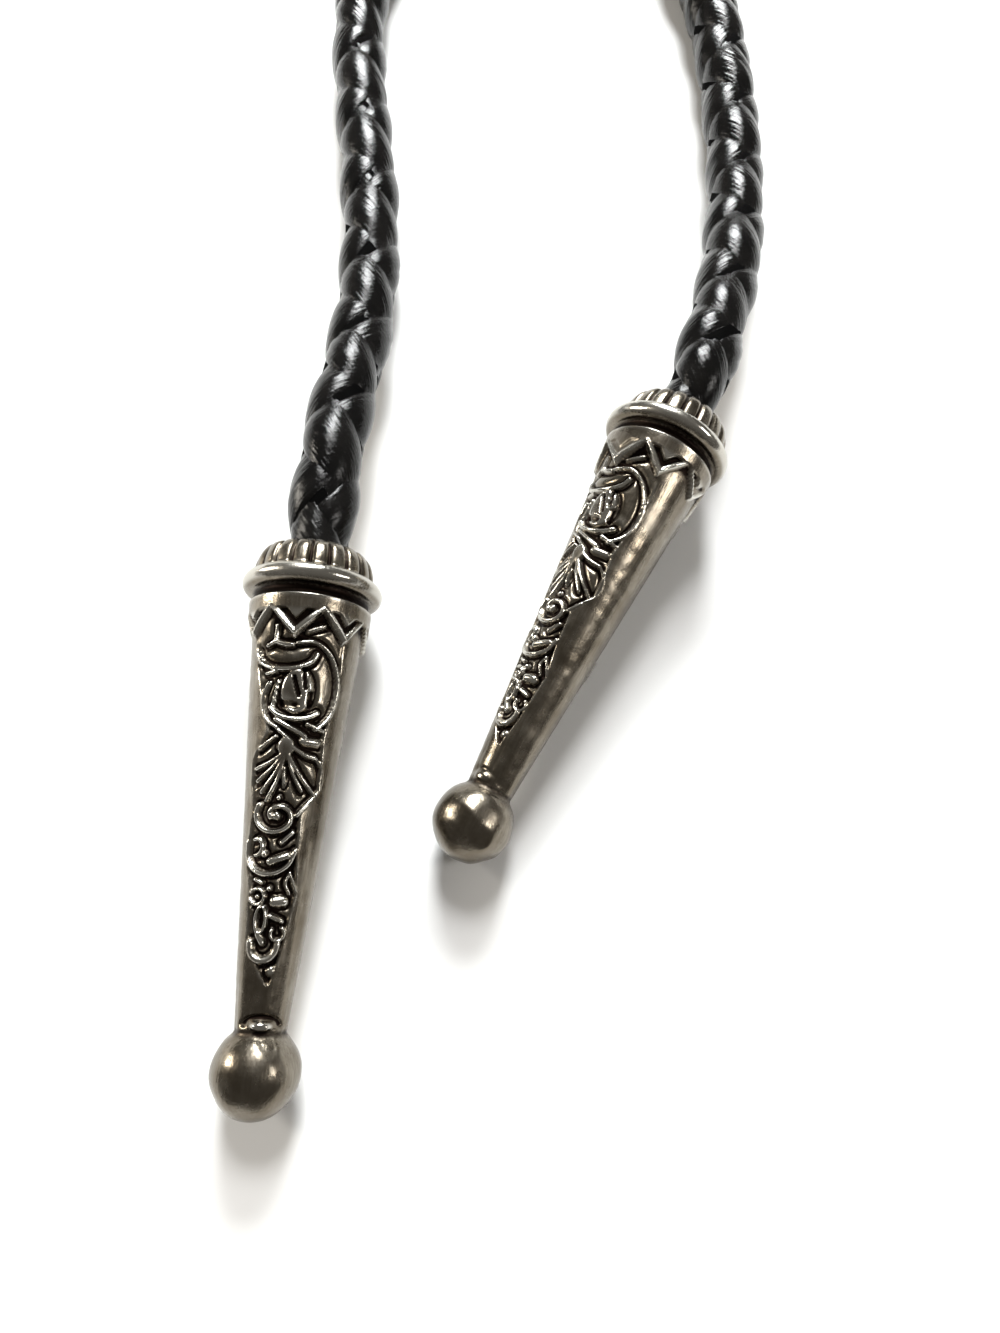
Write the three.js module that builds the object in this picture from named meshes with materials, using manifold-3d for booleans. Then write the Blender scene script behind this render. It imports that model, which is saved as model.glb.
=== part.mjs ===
// A bolo tie lying on a flat surface: one round braided cord, an oval slide that runs on it,
// and a cast metal tip on each of its two ends. Millimetres, +Z up.
// The origin is the middle of the slide's flat back. The neck loop lies towards +Y, the tips towards -Y.
import * as THREE from 'three';
import { mergeVertices } from 'three/addons/utils/BufferGeometryUtils.js';
import Module from 'manifold-3d';

const wasm = await Module();
wasm.setup();

// Driving dimensions

const gap = 0.3; // clearance between pieces that touch

const cord = {
  diameter: 6,
  sides: 10, // flats round the cord's section
  stepLength: 13, // length of one straight facet along the cord
};

const tip = {
  ballRadius: 3.22,
  neckRadius: 1.85, // where the body runs into the ball
  bodyTopRadius: 4.25, // widest part of the tapering body, under the band
  bodyTop: 31, // heights along the tip are from the middle of the ball
  bandFoot: 31.6,
  bandFootRadius: 4.62,
  bandTop: 34.9,
  bandTopRadius: 4.95,
  grooveRadius: 4.6,
  ringHeight: 36.4, // middle of the collar ring
  ringRadius: 5.66, // outside of the collar ring
  ringWire: 0.78, // radius of the ring's own half-round section
  rimHeight: 39.9, // open end of the socket
  rimRadius: 3.45,
  boreRadius: 2.8,
  boreDepth: 11.5,
  sides: 32,
};

const tipPlaces = [
  { name: 'left_tip', ballX: -21.0, ballY: -166.0, heading: 3.3 }, // heading: degrees from +Y towards +X
  { name: 'right_tip', ballX: -5.6, ballY: -148.2, heading: 27.2 },
];

const slide = {
  width: 36,
  length: 44,
  plateUnderside: 7.9,
  plateEdge: 9.6,
  domeTop: 13,
  rimWidth: 0.08, // share of the half width taken by the raised rim
  blockWidth: 26,
  blockLength: 26,
  blockCorner: 4,
  channelX: 8, // the two cord channels lie this far each side of the middle
  channelHeight: 4.2,
  sides: 48,
};

// Routes of the cord's centre line, chosen by hand: x, y and height of each point

const neckLoopRoute = [
  [-8, gap / 2, 4.2], [-8, 7, 4.2], [-8, 14, 4.2], [-9.4, 24, 3.7], [-13.5, 38, 3.1],
  [-21, 56, 3.02], [-32, 78, 3], [-45, 102, 3], [-57, 127, 3], [-67, 153, 3],
  [-73, 180, 3], [-73, 207, 3], [-64, 231, 3], [-47, 249, 3], [-24, 260, 3],
  [1, 263, 3], [25, 259, 3], [47, 248, 3], [65, 230, 3], [76, 207, 3],
  [79, 180, 3], [75, 153, 3], [66, 127, 3], [54, 102, 3], [40, 78, 3],
  [26, 56, 3.02], [15.5, 38, 3.1], [9.8, 24, 3.7], [8, 14, 4.2], [8, 7, 4.2], [8, gap / 2, 4.2],
];

const leftFreeRoute = [
  [-8, -gap / 2, 4.2], [-8, -7, 4.2], [-8, -14, 4.2], [-9.2, -22, 3.8], [-11.8, -30, 3.3],
  [-15.2, -38.5, 3.05], [-18.0, -47.5, 3.01], [-19.2, -57, 3], [-18.9, -66, 3], [-17.9, -75, 3],
  [-16.9, -84, 3.02], [-16.4, -93, 3.15], [-16.6, -101, 3.8], [-17.3, -108.5, 4.9], [-18.0, -115.5, 5.9],
];

const rightFreeRoute = [
  [8, -gap / 2, 4.2], [8, -7, 4.2], [8, -14, 4.2], [9.2, -22, 3.8], [11.8, -30, 3.3],
  [15.2, -38.5, 3.05], [18.2, -47.5, 3.01], [20.2, -56.5, 3], [20.9, -65.5, 3], [21.0, -74, 3.02],
  [20.7, -82, 3.2], [19.7, -90, 3.9], [18.1, -97.5, 5], [16.1, -104.2, 5.9],
];

// Materials

const braidedLeather = new THREE.MeshStandardMaterial({ color: 0x14130f, roughness: 0.38, metalness: 0 });
const antiqueSilver = new THREE.MeshStandardMaterial({ color: 0x8a8376, roughness: 0.3, metalness: 1 });

// Solids for cutting and joining

function toSolid(geometry) {
  const bare = geometry.clone();
  for (const attribute of ['normal', 'uv']) bare.deleteAttribute(attribute);
  const merged = mergeVertices(bare, 1e-4);
  return new wasm.Manifold(new wasm.Mesh({
    numProp: 3,
    vertProperties: new Float32Array(merged.attributes.position.array),
    triVerts: new Uint32Array(merged.index.array),
  }));
}

function fromSolid(solid) {
  const { vertProperties, triVerts } = solid.getMesh();
  const geometry = new THREE.BufferGeometry();
  geometry.setAttribute('position', new THREE.BufferAttribute(vertProperties, 3));
  geometry.setIndex(new THREE.BufferAttribute(triVerts, 1));
  geometry.computeVertexNormals();
  return geometry;
}

function named(name, geometry, material) {
  const mesh = new THREE.Mesh(geometry, material);
  mesh.name = name;
  return mesh;
}

// An arc in a lathe profile, from one angle to another in degrees: 0 points outwards, 90 points up

function profileArc(centreRadius, centreHeight, radius, startAngle, endAngle, steps) {
  return Array.from({ length: steps + 1 }, (_, i) => {
    const angle = THREE.MathUtils.degToRad(startAngle + (endAngle - startAngle) * i / steps);
    return new THREE.Vector2(
      Math.max(centreRadius + radius * Math.cos(angle), 0),
      centreHeight + radius * Math.sin(angle),
    );
  });
}

// One cast tip, standing on its ball with the cord socket at the top

function tipGeometry() {
  const neckAngle = THREE.MathUtils.radToDeg(Math.acos(tip.neckRadius / tip.ballRadius));
  const ringCentre = tip.ringRadius - tip.ringWire;
  const crownFoot = tip.ringHeight + tip.ringWire * 0.8;
  const crownRise = tip.rimHeight - 0.3 - crownFoot;
  const crownReach = ringCentre - tip.rimRadius;
  const crown = [0.2, 0.45, 0.7, 0.9, 1].map((t) => new THREE.Vector2(
    tip.rimRadius + crownReach * Math.cos(t * Math.PI / 2),
    crownFoot + crownRise * Math.sin(t * Math.PI / 2),
  ));
  const profile = [
    ...profileArc(0, 0, tip.ballRadius, -90, neckAngle, 9),
    new THREE.Vector2(tip.bodyTopRadius, tip.bodyTop),
    new THREE.Vector2(tip.bandFootRadius, tip.bandFoot),
    new THREE.Vector2(tip.bandTopRadius, tip.bandTop),
    new THREE.Vector2(tip.grooveRadius, tip.ringHeight - tip.ringWire),
    ...profileArc(ringCentre, tip.ringHeight, tip.ringWire, -72, 72, 6),
    ...crown,
    new THREE.Vector2(tip.rimRadius - 0.25, tip.rimHeight),
    new THREE.Vector2(tip.boreRadius, tip.rimHeight),
    new THREE.Vector2(tip.boreRadius, tip.rimHeight - tip.boreDepth),
    new THREE.Vector2(0, tip.rimHeight - tip.boreDepth),
  ];
  const geometry = new THREE.LatheGeometry(profile, tip.sides);
  geometry.rotateX(Math.PI / 2); // the lathe turns about Y: lay the axis along +Z
  return geometry;
}

// A tip lies on its ball and its collar ring, so its socket end is a little higher than its ball

function placeTip(mesh, { ballX, ballY, heading }) {
  const rise = Math.asin((tip.ringRadius - tip.ballRadius) / tip.ringHeight);
  const turn = THREE.MathUtils.degToRad(heading);
  const axis = new THREE.Vector3(
    Math.sin(turn) * Math.cos(rise),
    Math.cos(turn) * Math.cos(rise),
    Math.sin(rise),
  );
  mesh.quaternion.setFromUnitVectors(new THREE.Vector3(0, 0, 1), axis);
  mesh.position.set(ballX, ballY, tip.ballRadius);
  return { ball: mesh.position.clone(), axis };
}

// A plain tube along a stretch of the cord

function cordTube(points) {
  const route = new THREE.CatmullRomCurve3(points, false, 'centripetal');
  const section = new THREE.Shape();
  for (let i = 0; i < cord.sides; i += 1) {
    const angle = 2 * Math.PI * i / cord.sides;
    const corner = [cord.diameter / 2 * Math.cos(angle), cord.diameter / 2 * Math.sin(angle)];
    if (i === 0) section.moveTo(...corner);
    else section.lineTo(...corner);
  }
  section.closePath();
  return new THREE.ExtrudeGeometry(section, {
    steps: Math.round(route.getLength() / cord.stepLength),
    bevelEnabled: false,
    extrudePath: route,
  });
}

const routePoints = (rows) => rows.map(([x, y, height]) => new THREE.Vector3(x, y, height));

// A free end runs from the slide to its tip, where its squeezed end goes down into the socket

function freeEndGeometry(rows, { ball, axis }) {
  const alongTip = (height) => ball.clone().addScaledVector(axis, height);
  const mouth = tip.rimHeight + gap;
  const points = [...routePoints(rows), alongTip(mouth + 4), alongTip(mouth)];
  const tube = toSolid(cordTube(points));

  const plugFoot = tip.rimHeight - tip.boreDepth + gap;
  const plugTop = mouth + 1;
  const plugRadius = tip.boreRadius - gap;
  const plug = new THREE.CylinderGeometry(plugRadius, plugRadius, plugTop - plugFoot, cord.sides);
  plug.applyQuaternion(new THREE.Quaternion().setFromUnitVectors(new THREE.Vector3(0, 1, 0), axis));
  plug.translate(...alongTip((plugFoot + plugTop) / 2));
  return fromSolid(tube.add(toSolid(plug)));
}

// The slide: a domed oval plate on a flat-backed block with two round channels for the cord

function slideGeometry() {
  const inner = 1 - slide.rimWidth * 2;
  const edgeHeight = slide.plateEdge - slide.plateUnderside;
  const dome = [0, 0.25, 0.5, 0.75, 1].map((t) => new THREE.Vector2(
    inner * (1 - t),
    slide.plateEdge + (slide.domeTop - slide.plateEdge) * Math.sin(t * Math.PI / 2),
  ));
  const profile = [
    new THREE.Vector2(0, slide.plateUnderside),
    new THREE.Vector2(1 - slide.rimWidth / 2, slide.plateUnderside),
    new THREE.Vector2(1, slide.plateUnderside + edgeHeight * 0.35),
    new THREE.Vector2(1, slide.plateUnderside + edgeHeight * 0.9),
    new THREE.Vector2(1 - slide.rimWidth / 2, slide.plateEdge + 0.5),
    new THREE.Vector2(1 - slide.rimWidth * 1.5, slide.plateEdge + 0.5),
    ...dome,
  ];
  const plate = new THREE.LatheGeometry(profile, slide.sides);
  plate.rotateX(Math.PI / 2);
  plate.scale(slide.width / 2, slide.length / 2, 1);

  const halfWidth = slide.blockWidth / 2;
  const halfLength = slide.blockLength / 2;
  const r = slide.blockCorner;
  const outline = new THREE.Shape();
  outline.moveTo(halfWidth, halfLength - r);
  outline.absarc(halfWidth - r, halfLength - r, r, 0, Math.PI / 2);
  outline.absarc(-halfWidth + r, halfLength - r, r, Math.PI / 2, Math.PI);
  outline.absarc(-halfWidth + r, -halfLength + r, r, Math.PI, 1.5 * Math.PI);
  outline.absarc(halfWidth - r, -halfLength + r, r, 1.5 * Math.PI, 2 * Math.PI);
  const block = new THREE.ExtrudeGeometry(outline, {
    depth: slide.plateUnderside + 0.6,
    bevelEnabled: false,
    curveSegments: 5,
  });

  let solid = toSolid(plate).add(toSolid(block));
  const channelRadius = cord.diameter / 2 + gap;
  for (const side of [-1, 1]) {
    const channel = new THREE.CylinderGeometry(channelRadius, channelRadius, slide.length, 24);
    channel.translate(side * slide.channelX, 0, slide.channelHeight);
    solid = solid.subtract(toSolid(channel));
  }
  return fromSolid(solid);
}

// Assembly

const boloTie = new THREE.Group();

boloTie.add(named('slide', slideGeometry(), antiqueSilver));
boloTie.add(named('neck_loop', cordTube(routePoints(neckLoopRoute)), braidedLeather));

const [leftTip, rightTip] = tipPlaces.map((place) => {
  const mesh = named(place.name, tipGeometry(), antiqueSilver);
  boloTie.add(mesh);
  return placeTip(mesh, place);
});

boloTie.add(named('left_free_end', freeEndGeometry(leftFreeRoute, leftTip), braidedLeather));
boloTie.add(named('right_free_end', freeEndGeometry(rightFreeRoute, rightTip), braidedLeather));

export default boloTie;
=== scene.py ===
import math

import bpy
import numpy as np
from mathutils import Matrix, Vector


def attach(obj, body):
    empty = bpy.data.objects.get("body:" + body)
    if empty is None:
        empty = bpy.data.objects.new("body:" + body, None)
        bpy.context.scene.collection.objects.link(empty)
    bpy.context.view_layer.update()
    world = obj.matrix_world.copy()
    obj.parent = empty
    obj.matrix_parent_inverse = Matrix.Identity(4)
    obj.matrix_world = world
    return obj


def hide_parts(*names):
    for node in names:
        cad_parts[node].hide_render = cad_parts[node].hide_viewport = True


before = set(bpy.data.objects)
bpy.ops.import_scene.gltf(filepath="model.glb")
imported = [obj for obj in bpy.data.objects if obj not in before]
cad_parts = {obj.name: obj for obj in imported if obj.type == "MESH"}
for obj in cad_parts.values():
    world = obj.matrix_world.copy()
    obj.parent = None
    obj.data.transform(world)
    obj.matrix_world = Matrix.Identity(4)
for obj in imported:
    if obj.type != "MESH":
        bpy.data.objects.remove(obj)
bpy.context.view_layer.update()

mm = 0.001
scene = bpy.context.scene


def smoothStep(low, high, value):
    t = np.clip((value - low) / (high - low), 0, 1)
    return t * t * (3 - 2 * t)


def waves(seed, count, low, high):
    # a handful of seeded sine waves, used as smooth noise
    pick = np.random.default_rng(seed)
    way = pick.normal(size=(count, 3))
    way /= np.linalg.norm(way, axis=1)[:, None]
    return way * pick.uniform(low, high, (count, 1)), pick.uniform(0, 2 * math.pi, count)


def noiseAt(points, wave):
    way, shift = wave
    return np.sin(points @ way.T + shift).sum(axis=-1) / math.sqrt(len(shift))


def meshFromRings(rings, first=None, last=None):
    # closed skin over a stack of rings (mm), each end shut by a fan to its middle
    count, around = rings.shape[:2]
    points = list(map(tuple, (rings.reshape(-1, 3) * mm).tolist()))
    first = rings[0].mean(axis=0) if first is None else np.array(first)
    last = rings[-1].mean(axis=0) if last is None else np.array(last)
    points += [tuple(first * mm), tuple(last * mm)]
    faces = []
    for i in range(count - 1):
        a, b = i * around, (i + 1) * around
        for j in range(around):
            k = (j + 1) % around
            faces.append((a + j, a + k, b + k, b + j))
    top = (count - 1) * around
    for j in range(around):
        k = (j + 1) % around
        faces.append((len(points) - 2, k, j))
        faces.append((len(points) - 1, top + j, top + k))
    return points, faces


def addObject(name, points, faces, material, place=None):
    mesh = bpy.data.meshes.new(name)
    mesh.from_pydata(points, [], faces)
    mesh.polygons.foreach_set("use_smooth", [True] * len(mesh.polygons))
    mesh.materials.append(material)
    mesh.validate()
    piece = bpy.data.objects.new(name, mesh)
    if place is not None:
        piece.matrix_world = place
    scene.collection.objects.link(piece)
    return piece


def addValues(piece, name, values, kind="FLOAT"):
    field = piece.data.attributes.new(name, kind, "POINT")
    key = "vector" if kind == "FLOAT_VECTOR" else "value"
    field.data.foreach_set(key, np.asarray(values, dtype=np.float32).ravel())


cameraSetup = {
    "standX": -3.5,  # mm
    "standY": -158.0,
    "height": 70.2,
    "tilt": 18.68,  # degrees from looking straight down
    "lens": 22.96,
    "sensorWidth": 36,
    "nearest": 0.002,  # m
    "farthest": 20,
}


def makeCamera(setup):
    lens = bpy.data.cameras.new("camera")
    lens.lens = setup["lens"]
    lens.sensor_width = setup["sensorWidth"]
    lens.clip_start = setup["nearest"]
    lens.clip_end = setup["farthest"]
    camera = bpy.data.objects.new("camera", lens)
    camera.location = (setup["standX"] * mm, setup["standY"] * mm, setup["height"] * mm)
    camera.rotation_euler = (math.radians(setup["tilt"]), 0, 0)
    scene.collection.objects.link(camera)
    scene.camera = camera


makeCamera(cameraSetup)


# where the cord leaves the slide: to each side, up, and towards the tips, mm
channelEnd = {"x": 8, "height": 4.2, "mouth": 13}

# routes of the cord's middle line: x, y and height of each point, mm

neckLoopRoute = [
    (-8, 0.15, 4.2), (-8, 7, 4.2), (-8, 14, 4.2), (-9.4, 24, 3.7), (-13.5, 38, 3.1),
    (-21, 56, 3.02), (-32, 78, 3), (-45, 102, 3), (-57, 127, 3), (-67, 153, 3),
    (-73, 180, 3), (-73, 207, 3), (-64, 231, 3), (-47, 249, 3), (-24, 260, 3),
    (1, 263, 3), (25, 259, 3), (47, 248, 3), (65, 230, 3), (76, 207, 3),
    (79, 180, 3), (75, 153, 3), (66, 127, 3), (54, 102, 3), (40, 78, 3),
    (26, 56, 3.02), (15.5, 38, 3.1), (9.8, 24, 3.7), (8, 14, 4.2), (8, 7, 4.2), (8, 0.15, 4.2),
]

leftFreeRoute = [
    (-8, -0.15, 4.2), (-8, -7, 4.2), (-8, -14, 4.2), (-9.2, -22, 3.8), (-11.8, -30, 3.3),
    (-15.2, -38.5, 3.05), (-18.0, -47.5, 3.01), (-19.2, -57, 3), (-18.9, -66, 3), (-17.9, -75, 3),
    (-16.9, -84, 3.02), (-16.4, -93, 3.15), (-16.6, -101, 3.8), (-17.3, -108.5, 4.9), (-18.0, -115.5, 5.9),
]

rightFreeRoute = [
    (8, -0.15, 4.2), (8, -7, 4.2), (8, -14, 4.2), (9.2, -22, 3.8), (11.8, -30, 3.3),
    (15.2, -38.5, 3.05), (18.2, -47.5, 3.01), (20.2, -56.5, 3), (20.9, -65.5, 3), (21.0, -74, 3.02),
    (20.7, -82, 3.2), (19.7, -90, 3.9), (18.1, -97.5, 5), (16.1, -104.2, 5.9),
]


def smoothRoute(points, step, finePieces=60):
    # centripetal spline through the points, then evenly spaced along its length
    p = np.array(points, dtype=float)
    p = np.vstack([2 * p[0] - p[1], p, 2 * p[-1] - p[-2]])
    fine = []
    for i in range(1, len(p) - 2):
        gaps = [np.linalg.norm(p[i + k] - p[i + k - 1]) ** 0.5 for k in range(3)]
        startWay = ((p[i] - p[i - 1]) / gaps[0] - (p[i + 1] - p[i - 1]) / (gaps[0] + gaps[1])
                    + (p[i + 1] - p[i]) / gaps[1]) * gaps[1]
        endWay = ((p[i + 1] - p[i]) / gaps[1] - (p[i + 2] - p[i]) / (gaps[1] + gaps[2])
                  + (p[i + 2] - p[i + 1]) / gaps[2]) * gaps[1]
        t = np.linspace(0, 1, finePieces, endpoint=False)[:, None]
        fine.append((2 * t**3 - 3 * t**2 + 1) * p[i] + (t**3 - 2 * t**2 + t) * startWay
                    + (3 * t**2 - 2 * t**3) * p[i + 1] + (t**3 - t**2) * endWay)
    fine = np.vstack(fine + [p[-2][None]])
    along = np.concatenate([[0], np.cumsum(np.linalg.norm(np.diff(fine, axis=0), axis=1))])
    stops = np.linspace(0, along[-1], int(round(along[-1] / step)) + 1)
    return np.stack([np.interp(stops, along, fine[:, k]) for k in range(3)], axis=1), stops


def carriedFrames(path):
    # directions aside and above the path, carried along it without twist
    along = np.gradient(path, axis=0)
    along /= np.linalg.norm(along, axis=1)[:, None]
    above = np.zeros_like(path)
    above[0] = np.array([0, 0, 1.0]) - along[0] * along[0][2]
    above[0] /= np.linalg.norm(above[0])
    for i in range(1, len(path)):
        turned = above[i - 1] - along[i] * (above[i - 1] @ along[i])
        above[i] = turned / np.linalg.norm(turned)
    return np.cross(along, above), above


def newGroup(name, inputs, outputs):
    group = bpy.data.node_groups.new(name, "ShaderNodeTree")
    for label, kind, value in inputs:
        socket = group.interface.new_socket(label, in_out="INPUT", socket_type=kind)
        if value is not None:
            socket.default_value = value
    for label, kind in outputs:
        group.interface.new_socket(label, in_out="OUTPUT", socket_type=kind)
    entry = group.nodes.new("NodeGroupInput")
    leave = group.nodes.new("NodeGroupOutput")
    return group, entry, leave


def mathNode(tree, what, a, b=None, clamp=False):
    node = tree.nodes.new("ShaderNodeMath")
    node.operation = what
    node.use_clamp = clamp
    for slot, value in enumerate((a, b)):
        if value is None:
            continue
        if isinstance(value, (int, float)):
            node.inputs[slot].default_value = value
        else:
            tree.links.new(value, node.inputs[slot])
    return node.outputs[0]


def mixColor(tree, share, a, b):
    node = tree.nodes.new("ShaderNodeMix")
    node.data_type = "RGBA"
    for slot, value in ((0, share), (6, a), (7, b)):  # 6 and 7 are the node's two colours
        if isinstance(value, (int, float)):
            node.inputs[slot].default_value = value
        elif isinstance(value, tuple):
            node.inputs[slot].default_value = (*value, 1)
        else:
            tree.links.new(value, node.inputs[slot])
    return node.outputs[2]


def noiseNode(tree, vector, scale, detail=3, roughness=0.55, stretch=None):
    if stretch is not None:
        shift = tree.nodes.new("ShaderNodeMapping")
        shift.inputs["Scale"].default_value = stretch
        tree.links.new(vector, shift.inputs["Vector"])
        vector = shift.outputs[0]
    node = tree.nodes.new("ShaderNodeTexNoise")
    node.inputs["Scale"].default_value = scale
    node.inputs["Detail"].default_value = detail
    node.inputs["Roughness"].default_value = roughness
    tree.links.new(vector, node.inputs["Vector"])
    return node.outputs[0]


def remap(tree, value, low, high, newLow=0.0, newHigh=1.0):
    node = tree.nodes.new("ShaderNodeMapRange")
    for slot, number in enumerate((low, high, newLow, newHigh), start=1):
        node.inputs[slot].default_value = number
    tree.links.new(value, node.inputs[0])
    return node.outputs[0]


tarnish = {
    "darkFlats": (0.15, 0.128, 0.098),
    "paleFlats": (0.25, 0.225, 0.185),
    "brushedFlats": (0.125, 0.104, 0.076),
    "bareMetal": (0.56, 0.54, 0.49),
    # black patina of the hollows, also used as painted shade in the groove under the tips' ring
    "hollows": (0.014, 0.009, 0.007),
    "cloudScale": 420,
    "speckScale": 3800,
    "brushedStretch": (5200, 5200, 420),
    "bumpDepth": 0.03,  # mm
}


def makeTarnishGroup(spec=tarnish):
    # antiqued silver: black patina left in the hollows, plus the painted shade the hollow field carries,
    # brown-grey on the flats, bare metal on the high parts
    group, entry, leave = newGroup("tarnish", [
        ("Hollow", "NodeSocketFloat", 0), ("Worn", "NodeSocketFloat", 0), ("Place", "NodeSocketVector", None),
    ], [("Color", "NodeSocketColor"), ("Roughness", "NodeSocketFloat"), ("Height", "NodeSocketFloat")])
    place = entry.outputs["Place"]
    cloud = noiseNode(group, place, spec["cloudScale"], 4, 0.6)
    speck = noiseNode(group, place, spec["speckScale"], 3, 0.6)
    brushed = noiseNode(group, place, 1.0, 3, 0.6, stretch=spec["brushedStretch"])
    speckled = remap(group, speck, 0.3, 0.7, -0.12, 0.12)
    hollow = mathNode(group, "ADD", entry.outputs["Hollow"], speckled, True)
    flats = mixColor(group, remap(group, cloud, 0.35, 0.65), spec["darkFlats"], spec["paleFlats"])
    flats = mixColor(group, remap(group, brushed, 0.35, 0.65, 0, 0.6), flats, spec["brushedFlats"])
    bare = mixColor(group, entry.outputs["Worn"], flats, spec["bareMetal"])
    color = mixColor(group, remap(group, hollow, 0.25, 0.8), bare, spec["hollows"])
    group.links.new(color, leave.inputs["Color"])
    rough = remap(group, cloud, 0.3, 0.7, 0.2, 0.33)
    rough = mathNode(group, "ADD", rough, remap(group, hollow, 0.2, 0.9, 0, 0.3))
    rough = mathNode(group, "SUBTRACT", rough, remap(group, entry.outputs["Worn"], 0, 1, 0, 0.08), True)
    group.links.new(rough, leave.inputs["Roughness"])
    fine = mathNode(group, "MULTIPLY", speck, 0.35)
    lines = mathNode(group, "MULTIPLY", brushed, 0.5)
    broad = mathNode(group, "MULTIPLY", cloud, 0.8)
    height = mathNode(group, "ADD", mathNode(group, "ADD", fine, lines), broad)
    group.links.new(height, leave.inputs["Height"])
    return group


tarnishGroup = makeTarnishGroup()


def newMaterial(name):
    material = bpy.data.materials.new(name)
    material.use_nodes = True
    tree = material.node_tree
    return material, tree, tree.nodes["Principled BSDF"]


def addBump(tree, shader, height, depth):
    bump = tree.nodes.new("ShaderNodeBump")
    bump.inputs["Strength"].default_value = 1
    bump.inputs["Distance"].default_value = depth * mm
    tree.links.new(height, bump.inputs["Height"])
    tree.links.new(bump.outputs[0], shader.inputs["Normal"])


def makeSilver(name):
    material, tree, shader = newMaterial(name)
    placement = tree.nodes.new("ShaderNodeTexCoord")
    finish = tree.nodes.new("ShaderNodeGroup")
    finish.node_tree = tarnishGroup
    tree.links.new(placement.outputs["Object"], finish.inputs["Place"])
    for label in ("Hollow", "Worn"):
        field = tree.nodes.new("ShaderNodeAttribute")
        field.attribute_name = label.lower()
        tree.links.new(field.outputs["Fac"], finish.inputs[label])
    tree.links.new(finish.outputs["Color"], shader.inputs["Base Color"])
    tree.links.new(finish.outputs["Roughness"], shader.inputs["Roughness"])
    shader.inputs["Metallic"].default_value = 1
    addBump(tree, shader, finish.outputs["Height"], tarnish["bumpDepth"])
    return material


leather = {
    "darkest": (0.003, 0.003, 0.003),
    "palest": (0.008, 0.0075, 0.007),
    "shine": 0.2,
    "foldStretch": (2.6, 0.28, 1),  # across the lace, along it, and from strand to strand
    "wrinkleStretch": (1.3, 3.6, 1),
    "bumpDepth": 0.07,  # mm
}


def makeLeather(spec=leather):
    # glossy black lace: lengthwise folds, fine wrinkles across, tiny grain
    material, tree, shader = newMaterial("braidedLeather")
    lace = tree.nodes.new("ShaderNodeAttribute")
    lace.attribute_name = "lace"
    place = lace.outputs["Vector"]
    folds = noiseNode(tree, place, 1.0, 3, 0.55, stretch=spec["foldStretch"])
    wrinkles = noiseNode(tree, place, 1.0, 4, 0.65, stretch=spec["wrinkleStretch"])
    grain = noiseNode(tree, place, 14, 2, 0.5)
    cloud = noiseNode(tree, place, 0.35, 2, 0.5)
    color = mixColor(tree, remap(tree, cloud, 0.3, 0.7), spec["darkest"], spec["palest"])
    tree.links.new(color, shader.inputs["Base Color"])
    wrinkledShine = remap(tree, wrinkles, 0.3, 0.7, 0.07, 0.15)
    cloudedShine = remap(tree, cloud, 0.3, 0.7, -0.04, 0.05)
    tree.links.new(mathNode(tree, "ADD", wrinkledShine, cloudedShine), shader.inputs["Roughness"])
    height = mathNode(tree, "ADD", folds, mathNode(tree, "MULTIPLY", wrinkles, 0.55))
    height = mathNode(tree, "ADD", height, mathNode(tree, "MULTIPLY", grain, 0.05))
    shader.inputs["Specular IOR Level"].default_value = spec["shine"]
    addBump(tree, shader, height, spec["bumpDepth"])
    return material


def makeShadeCoreLeather():
    # painted shade: the core that shows deep between the strands is dull and darker than the leather, so the
    # gaps read as shadow
    material, tree, shader = newMaterial("leatherCoreShade")
    placement = tree.nodes.new("ShaderNodeTexCoord")
    coreShadeNoise = noiseNode(tree, placement.outputs["Object"], 900, 3, 0.6)
    color = mixColor(tree, coreShadeNoise, (0.0004, 0.0004, 0.0004), (0.002, 0.002, 0.002))
    tree.links.new(color, shader.inputs["Base Color"])
    tree.links.new(remap(tree, coreShadeNoise, 0.3, 0.7, 0.75, 0.95), shader.inputs["Roughness"])
    shader.inputs["Specular IOR Level"].default_value = 0.02
    return material


tipSilver = makeSilver("tipSilver")
slideSilver = makeSilver("slideSilver")
blackLeather = makeLeather()
# the braid core's material is painted shade, darker than the leather
shadeCoreLeather = makeShadeCoreLeather()
print("materials made")


braid = {
    "diameter": 6.0,
    "orbit": 1.58,  # middle of a strand from the cord's middle
    "weave": 0.28,  # how far it swings out over and in under the others
    "halfWidth": 2.38,  # of a strand
    "halfThick": 1.16,
    "linger": 0.7,  # under 1, a strand stays longer on top
    "crown": 0.075,  # how fast a strand's section bends down towards its edges
    "core": 2.5,  # radius of the core, which only shows between strands as a floor of painted shade
    "roll": 78,  # degrees that the weave is turned about the cord
    "folds": 3,  # lengthwise folds in each strand
    "foldDepth": 0.1,
    "foldSpread": 0.75,  # radians round the strand from one fold to the next
    "foldWidth": 0.17,
    "laceStretch": 1.19,  # a strand is about this much longer than the cord
    "laceApart": 11.0,  # keeps the strands' wrinkles from matching
    "drawIn": 0.14,  # share of its girth that a cord loses on its way into a socket
}


def foldHeights(walk, angle, seed, spec=braid):
    # lengthwise folds that wander over a strand's lace
    folds = np.zeros((len(walk), len(angle)))
    for fold in range(spec["folds"]):
        drift = 0.9 * noiseAt(walk, waves(seed + 30 + fold, 4, 0.1, 0.45))
        centre = math.pi / 2 + (fold - 1) * spec["foldSpread"] + 0.35 * drift
        strength = noiseAt(walk, waves(seed + 60 + fold, 4, 0.15, 0.6))
        depth = spec["foldDepth"] * smoothStep(-0.6, 0.8, strength)
        folds += depth[:, None] * np.exp(-((angle[None] - centre[:, None]) / spec["foldWidth"]) ** 2)
    return folds


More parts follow.
